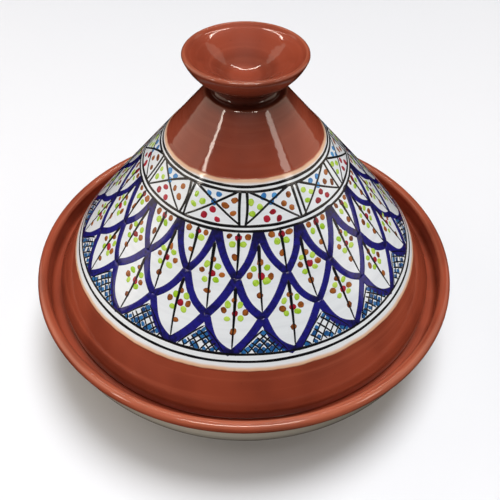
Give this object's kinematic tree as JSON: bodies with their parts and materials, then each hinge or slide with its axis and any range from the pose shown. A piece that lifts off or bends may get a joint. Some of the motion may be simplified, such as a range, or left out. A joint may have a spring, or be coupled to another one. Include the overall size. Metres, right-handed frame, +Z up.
{
  "type": "tagine pot",
  "caption": "Round glazed terracotta cooking pot: a shallow dish with a rolled rim and inner ledge, and a tall conical lid with a painted white band and a cupped knob.",
  "frame": {"origin": "centre of the circle that the foot ring stands on", "axes": "+Z up along the pot's own axis, -Y towards the viewer"},
  "size_m": [0.3, 0.3, 0.221],
  "materials": {
    "terracotta_glaze": "red terracotta under a clear, glossy lead-free glaze",
    "white_slip": "white slip under clear gloss glaze, painted by hand in cobalt, black, green, amber, red and blue",
    "dish_slip": "thin off-white slip under clear glaze"
  },
  "bodies": {
    "base": {"dish": "terracotta_glaze", "dish_white_slip": "dish_slip"},
    "lid": {"lid_cone": "terracotta_glaze", "lid_white_slip": "white_slip", "lid_knob": "terracotta_glaze"}
  },
  "joints": [
    {"name": "lid_lift", "type": "slide", "parent": "base", "child": "lid", "axis": [0, 0, 1], "range_m": [0, 0.15]}
  ]
}
